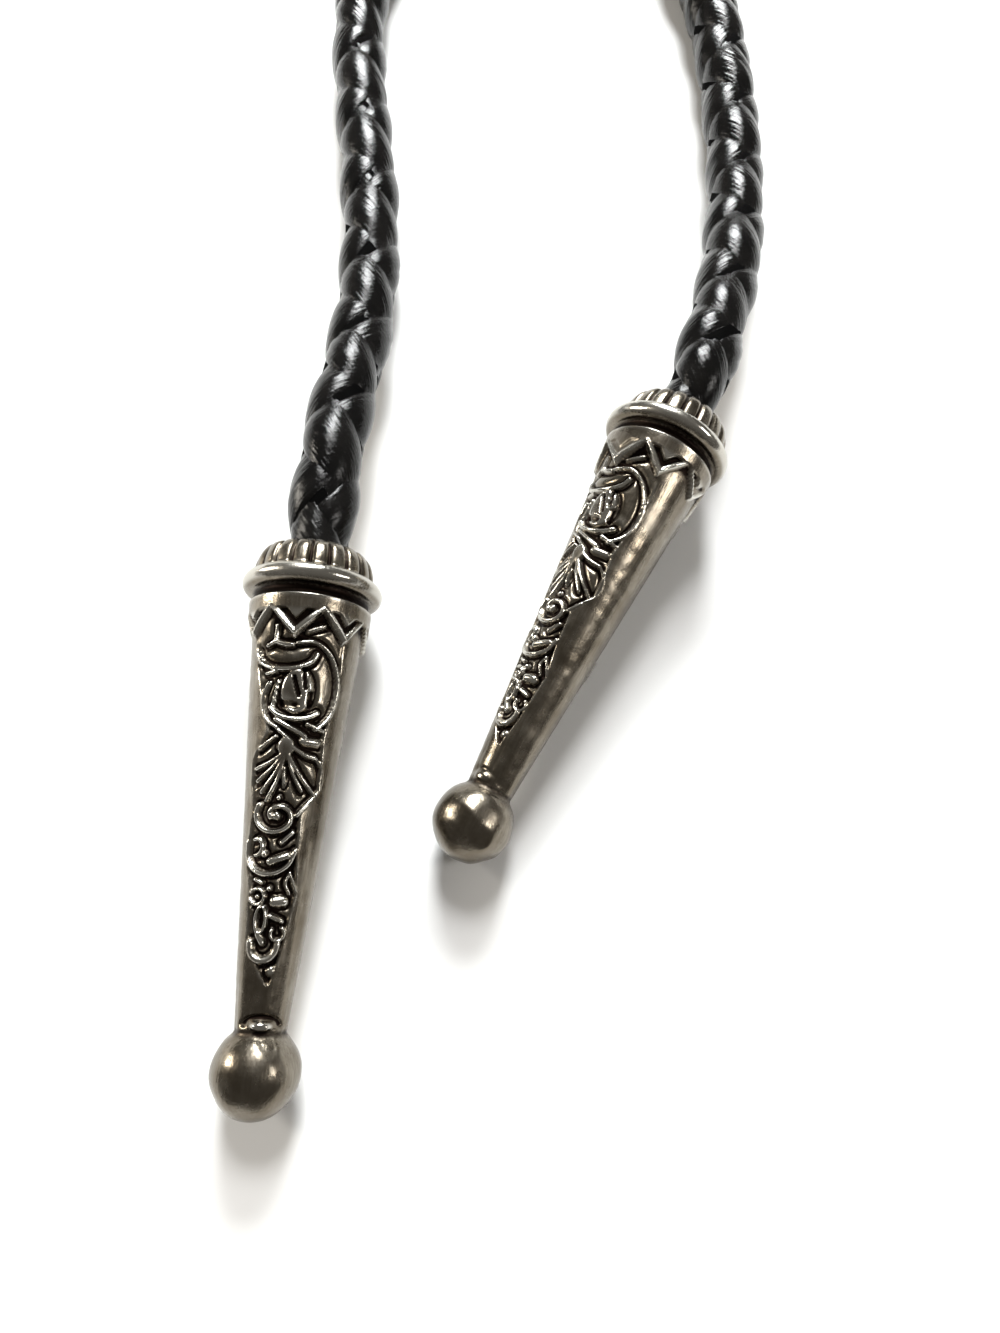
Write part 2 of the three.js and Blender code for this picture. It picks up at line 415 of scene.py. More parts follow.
def braidRings(path, stops, squeeze, weave, spec=braid):
    aside, above = carriedFrames(path)
    seed = weave["seed"]
    angle = np.linspace(0, 2 * math.pi, weave["sides"], endpoint=False)
    across, out = np.cos(angle), np.sin(angle)
    walk = np.stack([stops, np.zeros_like(stops), np.zeros_like(stops)], axis=1)
    travel = 2 * math.pi * (stops - weave["firstLobe"]) / weave["pitch"] + math.pi / 2
    swing = np.cos(2 * travel)
    strands = []
    for strand in range(4):
        way = 1 if strand < 2 else -1  # two strands wind each way
        turn = way * travel + (strand % 2) * math.pi + math.radians(spec["roll"])
        lift = way * np.sign(swing) * np.abs(swing) ** spec["linger"]
        uneven = noiseAt(walk, waves(seed + strand, 6, 0.15, 0.6))
        orbit = (spec["orbit"] + spec["weave"] * lift + 0.03 * uneven) * squeeze
        outward = np.cos(turn)[:, None] * above + np.sin(turn)[:, None] * aside
        middle = path + orbit[:, None] * outward
        heading = np.gradient(middle, axis=0)
        heading /= np.linalg.norm(heading, axis=1)[:, None]
        outward -= heading * (outward * heading).sum(axis=1)[:, None]
        outward /= np.linalg.norm(outward, axis=1)[:, None]
        side = np.cross(heading, outward)
        widthNoise = noiseAt(walk, waves(seed + 10 + strand, 5, 0.2, 0.7))
        halfWidth = spec["halfWidth"] * squeeze * (1 + 0.05 * widthNoise)
        halfThick = spec["halfThick"] * squeeze * (1 + 0.03 * uneven)
        folds = foldHeights(walk, angle, seed + strand * 5)
        wide = halfWidth[:, None] * across[None] * (1 - 0.3 * folds)
        thick = halfThick[:, None] * out[None] - folds * np.maximum(out, 0)[None] - spec["crown"] * wide**2
        ring = middle[:, None] + wide[..., None] * side[:, None] + thick[..., None] * outward[:, None]
        lace = np.stack([
            np.broadcast_to(spec["halfWidth"] * (angle - math.pi / 2)[None], ring.shape[:2]),
            np.broadcast_to(stops[:, None] * spec["laceStretch"], ring.shape[:2]),
            np.full(ring.shape[:2], spec["laceApart"] * strand + seed),
        ], axis=-1)
        strands.append((ring, lace))
    # a core under the strands, given the painted-shade material
    reach = (spec["core"] * squeeze)[:, None, None]
    outOfPath = across[None, :, None] * aside[:, None] + out[None, :, None] * above[:, None]
    core = path[:, None] + reach * outOfPath
    strands.append((core[1:-1], lace[1:-1]))
    return strands


def makeBraid(name, node, points, weave, mouth=None, spec=braid):
    path, stops = smoothRoute(points, weave["step"])
    squeeze = np.ones(len(stops))
    if mouth is not None:  # drawn in where it goes down into a socket
        squeeze -= spec["drawIn"] * smoothStep(mouth - 4.5, mouth + 0.6, stops)
    allPoints, allFaces, allLace = [], [], []
    coreStart = 0
    for ring, lace in braidRings(path, stops, squeeze, weave):
        skin, faces = meshFromRings(ring)
        shift = len(allPoints)
        coreStart = len(allFaces)  # the last skin is the core
        allPoints += skin
        allFaces += [tuple(i + shift for i in face) for face in faces]
        allLace += [lace.reshape(-1, 3), lace[0].mean(axis=0)[None], lace[-1].mean(axis=0)[None]]
    piece = addObject(name, allPoints, allFaces, blackLeather)
    # the core's faces take the second material, a painted shade darker than the leather
    piece.data.materials.append(shadeCoreLeather)
    piece.data.polygons.foreach_set("material_index", [int(i >= coreStart) for i in range(len(allFaces))])
    addValues(piece, "lace", np.vstack(allLace), "FLOAT_VECTOR")
    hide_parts(node)
    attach(piece, "root")
    print(name, "made,", len(allFaces), "faces")
    return piece, path


# sizes in mm; heights run up the tip from the ball's middle
tipShape = {
    "ballRadius": 3.22,
    "neckRadius": 1.85,
    "bodyTop": 31.0,
    "bodyTopRadius": 4.25,
    "bandTop": 34.9,
    "ringHeight": 36.4,
    "ringRadius": 5.66,
    "ringWire": 0.78,
    "rimHeight": 39.9,
    "rimRadius": 3.45,
    "boreRadius": 2.8,
    "boreDepth": 11.5,
    "rows": 0.08,  # spacing of the mesh along the relief
    "around": 200,
    "ribs": 20,
    "ribDepth": 0.5,
    "zigzags": 7,
    "zigzagFoot": 31.45,
    "zigzagPeak": 33.6,
    "firstFoot": -12.5,  # degrees from the relief's middle to a foot of the zigzag
    "bandRaise": 0.36,
    "wireRaise": 0.15,
    "blobHeight": 3.3,  # a casting blob sits on the front of the neck just above the ball
    "blobRaise": 0.34,
    "blobHalfHeight": 0.42,
    "blobHalfWidth": 0.95,
    "blobGroove": 0.26,  # depth of the soft groove round the blob
    "wireHalf": 0.19,
    "pitDepth": 0.42,
    "pitAbove": 0.95,  # the pits run along the zigzag, this far above it
    "zigzagLean": 0.69,  # turns a height over the zigzag into a distance from it
    "boldness": 1.25,  # strokes are this much wider than their rows say
    "ground": -0.14,  # floor of the relief below the plain surface
    "trench": -0.3,  # how much deeper it is beside a stroke
    "trenchWidth": 0.24,
    "unevenness": 0.011,
    "grain": 0.007,
    "ballDents": 0.05,
    "underRing": [(4.72, 35.0), (4.6, 35.12), (4.55, 35.3), (4.55, 35.5), (4.62, 35.62)],  # radius, height
    "rim": [(3.3, 39.82), (3.12, 39.9), (2.95, 39.88), (2.8, 39.75)],  # radius, height
    "boreHeights": [39.0, 37.0, 34.0, 31.0, 28.4],
}

# where each ball rests, the way the tip points and rolls (degrees), and its own casting faults
tips = {
    "left": {
        "node": "left_tip",
        "ballX": -21.0,
        "ballY": -166.0,
        "heading": 3.3,
        "roll": 13.4,
        "blob": 1,
        "pits": [1, 1, 0.5, 0.4, 0.7, 0.4, 0.9],
        "seed": 3,
    },
    "right": {
        "node": "right_tip",
        "ballX": -5.6,
        "ballY": -148.2,
        "heading": 27.2,
        "roll": -28.0,
        "blob": 0.35,
        "pits": [0.25, 1, 0.6, 0.4, 0.7, 0.5, 0.3],
        "seed": 8,
    },
}

# the relief's edge: (height along the tip, left edge, right edge) across the panel, mm
reliefEdge = [
    (34, -4.5, 3.2), (31, -4.5, 3.2), (28.5, -3.8, 3.2), (26, -2.9, 2.8), (24, -2.2, 2.3), (22, -3.4, 2.4),
    (20, -3.2, 2.4), (18, -2.7, 1.1), (15, -3, 1.2), (12.5, -2.2, 1.5), (8.5, -1.9, 0.9), (6, 0, 0.3),
]

# headings are degrees: 0 points up the tip, 90 to the panel's right
# arms and scrolls: (height, across, reach along, reach across, from, to,
# share of the reach left at the end, half width, top)
reliefScrolls = [
    (27.6, 0.3, 3.5, 2.8, -20, 155, 1, 0.15, 0.07),  # long arm round the shield's right
    (30.3, -1.6, 1.45, 2.6, 95, 265, 1, 0.19, 0.1),  # hanging line over the shield
    (26.5, -0.9, 2.2, 2.2, 195, 305, 1, 0.15, 0.06),  # left arm
    (26.3, -0.3, 1.2, 2.1, 120, 250, 1, 0.19, 0.12),  # lip under the shield
    (20.8, 0.8, 1.9, 1.8, 30, 150, 1, 0.1, 0.06),  # the fan's right edge
    (17.9, -0.7, 1.5, 1.8, 300, -110, 0.25, 0.19, 0.12),  # upper scroll
    (15.6, -1, 1.9, 2, 95, 280, 1, 0.19, 0.12),  # lower scroll
    (15.6, -2, 0.6, 0.5, -30, 180, 1, 0.17, 0.08),
    (12.1, -1.5, 0.55, 0.6, -60, 250, 1, 0.14, 0.06),
    (10.5, -1, 0.95, 0.4, 20, 340, 1, 0.14, 0.08),
    (9.6, 0.4, 0.5, 0.5, 300, 40, 1, 0.14, 0.06),
    (8.9, -0.6, 1.2, 1.1, 90, 270, 1, 0.26, 0.1),  # hook at the foot
]

# leaves: (form, foot's height, foot's across, heading, length, bend, half width, top)
reliefLeaves = [
    ("ridge", 31, -2.5, 0, 1.2, 0, 0.17, 0.03),
    ("ridge", 31, -2.5, 245, 0.8, 0, 0.17, 0.04),
    ("ridge", 31, -2.5, 100, 1.5, 0.1, 0.19, 0.05),
    ("ridge", 31.8, 0, 65, 1.5, 0, 0.17, -0.04),
    ("ridge", 28.5, -3, 80, 0.9, 0, 0.16, 0.03),
    ("ridge", 27.9, -1.8, 190, 2.3, 0, 0.12, 0.04),
    ("ridge", 25, -1.7, 115, 2.7, 0, 0.19, 0.08),
    ("ridge", 24.3, -1.5, 125, 1.6, 0, 0.15, 0.04),
    ("ridge", 24.8, 0.8, 105, 1.4, 0, 0.16, 0.06),
    ("ridge", 23.5, 0.6, 90, 1.3, 0, 0.3, 0),
    ("ridge", 23, -0.1, 110, 1.9, 0.15, 0.17, 0.06),
    ("ridge", 23.7, -1.5, 235, 1.6, 0, 0.14, 0.06),
    ("ridge", 18, 0.8, 40, 1.3, 0, 0.17, 0.06),
    ("ridge", 16, -0.1, 45, 1.1, 0, 0.17, 0.05),
    ("ridge", 14.6, -0.8, 70, 1.4, 0, 0.27, 0.1),
    ("ridge", 13.9, 0.8, 175, 1.5, 0.3, 0.13, 0.04),
    ("ridge", 13.9, 0.8, 155, 1.5, 0, 0.13, 0.04),
    ("ridge", 13.3, -1.8, 110, 0.6, 0, 0.16, 0.05),
    ("ridge", 11.8, -0.1, 85, 0.7, 0, 0.36, 0.12),
    ("ridge", 10.8, -0.3, 110, 1, 0, 0.18, 0.07),
    ("ridge", 9.5, -1.1, 145, 0.7, 0, 0.24, 0.05),
    ("slit", 28.3, -0.6, 160, 1.5, 0, 0.14, 0.4),
    ("slit", 28.9, 0.1, 170, 1.5, 0, 0.12, 0.4),
    ("slit", 26.2, -1.4, 95, 1.1, 0, 0.26, 0.3),
    ("slit", 27.1, 0.8, 180, 0.9, 0, 0.2, 0.32),
]

# the big fan of leaves that spreads down from under the shield
reliefFan = {
    "height": 22.7,
    "across": -0.5,
    "leftHeadings": (240, 223, 208, 197),
    "rightHeadings": (153, 141),
    "shortest": 2.5,
    "longest": 3.9,
    "bend": 0.18,
    "halfWidth": 0.16,
    "top": 0.06,
}

# filled shapes: (height, across, reach along, reach across, half width, top)
reliefPads = [
    (27.2, -0.3, 1.9, 1.4, 0.4, 0.06), (23, -0.6, 0.9, 0.8, 0.35, 0.05), (20.8, -0.5, 0.9, 0.3, 0.3, 0.02),
]

# beads: (height, across, half width, top)
reliefBeads = [
    (19.2, -0.7, 0.2, 0), (17.9, -0.7, 0.33, 0.1), (15.1, -1.3, 0.25, 0.04),
    (12.1, -1.5, 0.19, 0.02), (12.7, -0.6, 0.2, 0.05), (7, 0.3, 0.38, 0.04),
]


def scrollPoints(height, across, reachAlong, reachAcross, start, end, shareLeft=1):
    # a point every 30 degrees or so round an oval that may wind inwards
    steps = max(4, round(abs(end - start) / 30))
    points = []
    for step in range(steps + 1):
        share = step / steps
        heading = math.radians(start + (end - start) * share)
        reach = 1 + (shareLeft - 1) * share
        up, side = reachAlong * reach * math.cos(heading), reachAcross * reach * math.sin(heading)
        points.append((height + up, across + side))
    return points


def leafPoints(height, across, heading, length, bend):
    # foot, middle and end, with the middle pushed sideways by the bend
    up, side = math.cos(math.radians(heading)), math.sin(math.radians(heading))
    middle = (height + length / 2 * up - bend * side, across + length / 2 * side + bend * up)
    return [(height, across), middle, (height + length * up, across + length * side)]


def makeReliefStrokes(fan=reliefFan):
    strokes = []
    for height, across, along, aside, half, top in reliefPads:
        strokes.append(("pad", half, top, scrollPoints(height, across, along, aside, 0, 330)))
    for *shape, half, top in reliefScrolls:
        strokes.append(("ridge", half, top, scrollPoints(*shape)))
    for form, *shape, half, top in reliefLeaves:
        strokes.append((form, half, top, leafPoints(*shape)))
    for headings, side in ((fan["leftHeadings"], -1), (fan["rightHeadings"], 1)):
        for place, heading in enumerate(headings):
            length = fan["shortest"] + (fan["longest"] - fan["shortest"]) * (place + 1) / len(headings)
            leaf = leafPoints(fan["height"], fan["across"], heading, length, side * fan["bend"])
            strokes.append(("ridge", fan["halfWidth"], fan["top"], leaf))
    for height, across, half, top in reliefBeads:
        strokes.append(("bead", half, top, [(height, across)]))
    return strokes


reliefStrokes = makeReliefStrokes()


farBelow = -9  # mm, lower than any surface, where a shape isn't there


def segmentDistance(height, across, points):
    best = np.full(height.shape, 1e3)
    for (h0, a0), (h1, a1) in zip(points[:-1], points[1:]):
        dh, da = h1 - h0, a1 - a0
        share = np.clip(((height - h0) * dh + (across - a0) * da) / (dh * dh + da * da), 0, 1)
        best = np.minimum(best, np.hypot(height - h0 - share * dh, across - a0 - share * da))
    return best


def roundedLine(points, pieces=6):
    # soft curve through a stroke's few points
    if len(points) < 3:
        return points
    p = np.array(points, dtype=float)
    p = np.vstack([2 * p[0] - p[1], p, 2 * p[-1] - p[-2]])
    t = np.linspace(0, 1, pieces, endpoint=False)[:, None]
    line = []
    for i in range(1, len(p) - 2):
        before, here, after, beyond = p[i - 1:i + 3]
        bent = (2 * before - 5 * here + 4 * after - beyond) * t**2
        twisted = (3 * here - 3 * after + beyond - before) * t**3
        line.append(0.5 * (2 * here + (after - before) * t + bent + twisted))
    return [tuple(q) for q in np.vstack(line + [p[-2][None]])]


def insideOutline(height, across, points):
    inside = np.zeros(height.shape, dtype=bool)
    for (h0, a0), (h1, a1) in zip(points, points[1:] + points[:1]):
        if h0 == h1:
            continue
        crosses = (h0 > height) != (h1 > height)
        inside ^= crosses & (across < (a1 - a0) * (height - h0) / (h1 - h0) + a0)
    return inside


def reliefHeight(height, across, spec=tipShape):
    # depth of the carved ground, then every stroke raised from it or cut into it
    edge = [(h, a) for h, a, _ in reliefEdge] + [(h, b) for h, _, b in reversed(reliefEdge)]
    near = (height < 34.3) & (height > 5.5) & (np.abs(across) < 6)
    result = np.zeros(height.shape)
    h, a = height[near], across[near]
    toEdge = segmentDistance(h, a, edge + edge[:1])
    inPanel = insideOutline(h, a, edge)
    ground = spec["ground"] * smoothStep(0, 0.2, np.where(inPanel, toEdge, 0))
    surface = ground.copy()
    beside = np.zeros(h.shape)
    cuts = np.zeros(h.shape)
    for form, halfWidth, top, points in reliefStrokes:
        rows = np.array(points)
        reach = halfWidth + 2.5 * spec["trenchWidth"]
        close = ((h > rows[:, 0].min() - reach) & (h < rows[:, 0].max() + reach)
                 & (a > rows[:, 1].min() - reach) & (a < rows[:, 1].max() + reach))
        hc, ac = h[close], a[close]
        if form == "pad":
            line = roundedLine(points + points[:1])
            within = insideOutline(hc, ac, line)
            away = segmentDistance(hc, ac, line)
            shape = 1 - (1 - np.clip(np.where(within, away, 0) / halfWidth, 0, 1)) ** 2
            away = np.where(within, 0, away)
        else:
            if form == "bead":
                away = np.hypot(hc - points[0][0], ac - points[0][1])
            else:
                away = segmentDistance(hc, ac, roundedLine(points))
            away = away / spec["boldness"]
            shape = np.sqrt(np.clip(1 - (away / halfWidth) ** 2, 0, 1))
            away = np.maximum(away - halfWidth, 0)
        if form == "slit":
            cuts[close] = np.maximum(cuts[close], top * shape)
        else:
            low = spec["ground"] + spec["trench"]
            trench = np.exp(-(away / spec["trenchWidth"]) ** 2) * (shape <= 0)
            risen = np.where(shape > 0, low + (top - low) * shape, farBelow)
            surface[close] = np.maximum(surface[close], risen)
            beside[close] = np.maximum(beside[close], trench)
    sunk = ground + spec["trench"] * beside * smoothStep(0.02, 0.15, -ground)
    result[near] = np.where(surface > ground, surface, sunk) - cuts
    return result


def blurRows(field, radius, axis):
    kernel = np.exp(-0.5 * (np.arange(-2 * radius, 2 * radius + 1) / radius) ** 2)
    kernel /= kernel.sum()
    pad = [(0, 0), (0, 0)]
    pad[axis] = (2 * radius, 2 * radius)
    wide = np.pad(field, pad, mode="wrap" if axis == 1 else "edge")
    return np.apply_along_axis(lambda row: np.convolve(row, kernel, mode="valid"), axis, wide)


def tipProfile(spec=tipShape):
    # half outline of the tip: radius and height of each row, from the ball to the socket's floor
    def arc(centreRadius, centreHeight, radius, start, end, steps):
        turn = np.radians(np.linspace(start, end, steps))
        return [(centreRadius + radius * math.cos(t), centreHeight + radius * math.sin(t)) for t in turn]

    neckTurn = math.degrees(math.acos(spec["neckRadius"] / spec["ballRadius"]))
    neckHeight = spec["ballRadius"] * math.sin(math.radians(neckTurn))
    rows = arc(0, 0, spec["ballRadius"], -88, neckTurn - 3, 34)
    slope = (spec["bodyTopRadius"] - spec["neckRadius"]) / (spec["bodyTop"] - neckHeight)
    for height in np.arange(neckHeight + 0.12, spec["bandTop"], spec["rows"]):
        rows.append((spec["neckRadius"] + slope * (height - neckHeight), height))
    rows += spec["underRing"]
    ringMiddle = spec["ringRadius"] - spec["ringWire"]
    rows += arc(ringMiddle, spec["ringHeight"], spec["ringWire"], -85, 80, 17)
    crownFoot = spec["ringHeight"] + spec["ringWire"] * 0.95
    crownTop = spec["rimHeight"] - 0.25
    for t in np.linspace(0.05, 1, 24):
        swell = t * math.pi / 2
        rows.append((spec["rimRadius"] + (ringMiddle - spec["rimRadius"]) * math.cos(swell) ** 0.85,
                     crownFoot + (crownTop - crownFoot) * math.sin(swell)))
    rows += spec["rim"]
    rows += [(spec["boreRadius"], height) for height in spec["boreHeights"]]
    rows.append((spec["boreRadius"] * 0.5, spec["rimHeight"] - spec["boreDepth"]))
    return np.array(rows)


def tipHeights(radius, height, angle, tip, spec=tipShape):
    # everything that stands out from or is cut into the turned outline
    half = (angle + 90) % 180 - 90
    across = radius * np.radians(half)
    relief = reliefHeight(height, across)

    period = 360 / spec["zigzags"]
    place = (angle - spec["firstFoot"]) / period
    toFoot = np.abs((place + 0.5) % 1 - 0.5) * 2  # 0 at a foot of the zigzag, 1 at a peak
    zigzag = spec["zigzagFoot"] + (spec["zigzagPeak"] - spec["zigzagFoot"]) * toFoot
    overLine = (height - zigzag) * spec["zigzagLean"]
    onPanel = smoothStep(50, 40, np.abs(half))
    soft = 0.16 - 0.1 * onPanel  # plain lappets with a softer step on the sides
    inBand = smoothStep(-soft, soft, overLine)
    bandZone = smoothStep(30.9, 31.1, height) * (1 - smoothStep(34.75, 34.95, height))
    band = spec["bandRaise"] * inBand
    wire = spec["wireRaise"] * onPanel * np.sqrt(np.clip(1 - (overLine / spec["wireHalf"]) ** 2, 0, 1))
    depths = np.array(tip["pits"])[np.round(place).astype(int) % spec["zigzags"]]
    pitAway = np.abs(height - zigzag - spec["pitAbove"]) * spec["zigzagLean"]
    pit = spec["pitDepth"] * depths * smoothStep(0.31, 0.16, pitAway) * smoothStep(33.62, 33.45, height)
    banded = np.where(overLine > -soft, np.maximum(relief, band), relief)
    banded = np.maximum(banded, np.where(np.abs(overLine) < spec["wireHalf"], band + wire, farBelow)) - pit
    result = np.where(bandZone > 0, relief + (banded - relief) * bandZone, relief)
    result = np.where(height > spec["bandTop"], 0, result)

    blobUp = (height - spec["blobHeight"]) / spec["blobHalfHeight"]
    blobAway = np.hypot(blobUp, across / spec["blobHalfWidth"])
    onFront = (np.abs(angle) < 90) & (height > 2.6) & (height < 5)
    blob = spec["blobRaise"] * smoothStep(1.05, 0.35, blobAway)
    blob -= spec["blobGroove"] * np.exp(-((blobAway - 1.5) / 0.42) ** 2) * smoothStep(3.0, 3.4, height)
    result += np.where(onFront, blob * tip["blob"], 0)

    inCrown = smoothStep(37.15, 37.35, height) * smoothStep(40.0, 39.6, height) * (radius > 2.9)
    rib = (angle * spec["ribs"] / 360 + 0.3) % 1 * 2 - 1
    result -= inCrown * spec["ribDepth"] * (0.15 * rib**2 + 0.85 * rib**6)
    return result


def meshAngles(spec=tipShape):
    # directions round the tip, closer together on the front and back panels
    wheel = np.linspace(0, 360, 3601)
    crowd = 1 + 1.1 * smoothStep(62, 40, np.abs((wheel + 90) % 180 - 90))
    share = np.concatenate([[0], np.cumsum((crowd[1:] + crowd[:-1]) / 2)])
    return np.interp(np.arange(spec["around"]) / spec["around"] * share[-1], share, wheel) - 180


def castingFaults(surface, height, turn, tip, spec=tipShape):
    # slow unevenness and grain all over, dents in the ball, filed flats on the neck
    uneven = spec["unevenness"] * noiseAt(surface, waves(tip["seed"], 10, 0.5, 1.6))
    uneven += spec["grain"] * noiseAt(surface, waves(tip["seed"] + 1, 14, 3, 7))
    onBall = smoothStep(3.2, 2.2, height)
    dents = noiseAt(surface, waves(tip["seed"] + 2, 16, 1.0, 2.6))
    uneven += onBall * (spec["ballDents"] * dents - 0.12 * smoothStep(0.8, 2.0, dents) - 0.04)
    neck = smoothStep(2.4, 3.0, height) * smoothStep(7.5, 5.5, height)
    return uneven - neck * 0.05 * (1 - np.abs(np.cos(np.radians(turn * 4 + 20))))


def tarnishFields(profile, radius, height, raised, spec=tipShape):
    # where black patina has settled, with painted shade added in the groove under the ring, and where the
    # metal is rubbed bare
    low = blurRows(blurRows(raised, 5, 0), 5, 1)
    hollow = smoothStep(0.04, 0.17, low - raised) + smoothStep(0.2, 0.42, -raised)
    # patina and painted shade: the groove under the ring is darkened, more the deeper it lies
    ringZone = (height > 34.7) & (height < 37.4)
    gapDepth = np.where(ringZone, spec["ringRadius"] - 0.55 - radius, 0)
    hollow += 0.6 * smoothStep(0.15, 0.5, gapDepth)
    hollow += smoothStep(0.5, 0.0, np.abs(height - 2.75)) * 0.7
    hollow[np.argmax(profile[:, 1]) + 1:] = 1  # inside the socket
    worn = smoothStep(0.03, 0.2, raised - low)
    worn *= 1 - 0.65 * smoothStep(37.2, 37.6, height)  # the crown is duller than the relief
    worn = np.maximum(worn, smoothStep(0.3, 0.05, spec["ringRadius"] - radius) * 0.8)
    return {"hollow": np.clip(hollow, 0, 1), "worn": np.clip(worn, 0, 1)}


def tipPlacement(tip, spec=tipShape):
    # the tip lies on its ball and its ring
    rise = math.asin((spec["ringRadius"] - spec["ballRadius"]) / spec["ringHeight"])
    bearing = math.radians(tip["heading"])
    along = Vector((math.sin(bearing) * math.cos(rise), math.cos(bearing) * math.cos(rise), math.sin(rise)))
    up = (Vector((0, 0, 1)) - along * along.z).normalized()
    ball = Vector((tip["ballX"], tip["ballY"], spec["ballRadius"])) * mm
    place = Matrix((along.cross(up), -up, along)).transposed().to_4x4()
    place.translation = ball
    return place, ball, along


def makeTip(name, tip, spec=tipShape):
    profile = tipProfile(spec)
    radius = np.repeat(profile[:, :1], spec["around"], axis=1)
    height = np.repeat(profile[:, 1:], spec["around"], axis=1)
    turn = np.broadcast_to(meshAngles(spec), radius.shape)
    raised = tipHeights(radius, height, turn, tip)

    slope = np.gradient(profile, axis=0)
    slope /= np.linalg.norm(slope, axis=1)[:, None]
    outRadius, outHeight = slope[:, 1][:, None], -slope[:, 0][:, None]
    rolled = np.radians(turn + tip["roll"])
    surface = np.stack([np.sin(rolled) * radius, -np.cos(rolled) * radius, height], axis=-1)
    lift = raised + castingFaults(surface, height, turn, tip)
    grownRadius = radius + lift * outRadius
    rings = np.stack([np.sin(rolled) * grownRadius, -np.cos(rolled) * grownRadius,
                      height + lift * outHeight], axis=-1)

    foot = (0, 0, -spec["ballRadius"])
    socketFloor = (0, 0, spec["rimHeight"] - spec["boreDepth"])
    points, faces = meshFromRings(rings, foot, socketFloor)
    place, ball, along = tipPlacement(tip)
    piece = addObject(name, points, faces, tipSilver, place)
    for label, field in tarnishFields(profile, radius, height, raised).items():
        addValues(piece, label, np.concatenate([field.ravel(), [field[0].mean(), 1]]))
    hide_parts(tip["node"])
    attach(piece, "root")
    print(name, "made,", len(faces), "faces")
    return piece, np.array(ball) / mm, np.array(along)


leftTip, leftBall, leftAlong = makeTip("leftTip", tips["left"])
rightTip, rightBall, rightAlong = makeTip("rightTip", tips["right"])


neckLoopWeave = {"step": 0.9, "sides": 16, "pitch": 18.4, "firstLobe": 0, "seed": 20}

# lengths in m; pitch, step and first lobe in mm along the cord; side is -1 for left
freeEnds = {
    "left": {"node": "left_free_end", "route": leftFreeRoute, "length": 0.139, "side": -1,
             "step": 0.35, "sides": 28, "pitch": 19.0, "firstLobe": 71.5, "seed": 40},
    "right": {"node": "right_free_end", "route": rightFreeRoute, "length": 0.127, "side": 1,
              "step": 0.35, "sides": 28, "pitch": 16.6, "firstLobe": 71.1, "seed": 50},
}


def freeEndPoints(route, ball, along, spec=tipShape):
    # the route, then straight down the tip's axis to just above the socket's floor
    gap = 0.3
    mouth = spec["rimHeight"] + gap
    floor = spec["rimHeight"] - spec["boreDepth"] + gap
    return list(route) + [tuple(ball + along * h) for h in (mouth + 4, mouth, mouth - 5, floor)]


def makeFreeEnd(name, end, ball, along):
    side, length = end["side"], end["length"]
    points = freeEndPoints(end["route"], ball, along)
    mouth = length / mm - tipShape["boreDepth"]
    piece, path = makeBraid(name, end["node"], points, end, mouth)


makeBraid("neckLoopBraid", "neck_loop", neckLoopRoute, neckLoopWeave)
makeFreeEnd("leftFreeEnd", freeEnds["left"], leftBall, leftAlong)
makeFreeEnd("rightFreeEnd", freeEnds["right"], rightBall, rightAlong)


# sizes in mm
slideShape = {
    "width": 36.0,
    "length": 44.0,
    "underside": 7.9,
    "edge": 9.6,
    "domeTop": 13.0,
    "rimMiddle": 0.95,  # of the way from the middle to the edge
    "rimHalf": 0.045,
    "rimRise": 0.6,
    "block": 26.0,
    "blockCorner": 4.0,
    "blockTop": 8.5,
    "blockBevel": 0.5,
    "channelRadius": 3.3,
    "flare": 0.9,  # how much wider the channels are at their mouths
    "flareFrom": 12.6,
    "channelReach": 14.0,
    "channelSides": 48,
    "sides": 128,
}


def ovalRing(share, height, spec=slideShape):
    turn = np.linspace(0, 2 * math.pi, spec["sides"], endpoint=False)
    flat = np.full(spec["sides"], float(height))
    aside, along = spec["width"] / 2 * share, spec["length"] / 2 * share
    return np.stack([aside * np.cos(turn), along * np.sin(turn), flat], axis=1)


def makePlate(spec=slideShape):
    # underside, round edge, half-round rim, groove, then the dome
    rows = [(share, spec["underside"]) for share in (0.3, 0.6, 0.8, 0.93, 0.965)]
    rows += [(0.985, 8.0), (0.997, 8.25), (1.0, 8.6), (1.0, 9.1), (0.997, 9.45)]
    for turn in np.radians(np.linspace(15, 180, 16)):
        rimHeight = spec["edge"] - 0.1 + spec["rimRise"] * math.sin(turn)
        rows.append((spec["rimMiddle"] + spec["rimHalf"] * math.cos(turn), rimHeight))
    foot = spec["rimMiddle"] - 0.06
    rows.append((foot + 0.005, spec["edge"] - 0.16))
    for share in np.linspace(foot, 0.02, 44):
        rise = (1 - (share / foot) ** 2) ** 0.9
        rows.append((share, spec["edge"] - 0.1 + (spec["domeTop"] - spec["edge"] + 0.1) * rise))
    rings = np.stack([ovalRing(share, height) for share, height in rows])
    return meshFromRings(rings, last=(0, 0, spec["domeTop"]))


def makeChannel(side, spec=slideShape):
    # cutter for one channel, a little wider at its two mouths
    sides, bore = spec["channelSides"], spec["channelRadius"]
    turn = np.linspace(0, 2 * math.pi, sides, endpoint=False)
    reach, flareFrom, wide = spec["channelReach"], spec["flareFrom"], bore + spec["flare"]
    rings = []
    for y, radius in ((-reach, wide), (-flareFrom, bore), (flareFrom, bore), (reach, wide)):
        x = side * channelEnd["x"] - radius * np.cos(turn)
        rings.append(np.stack([x, np.full(sides, y), channelEnd["height"] + radius * np.sin(turn)], axis=1))
    points, faces = meshFromRings(np.array(rings))
    return addObject("channel", points, faces, slideSilver)


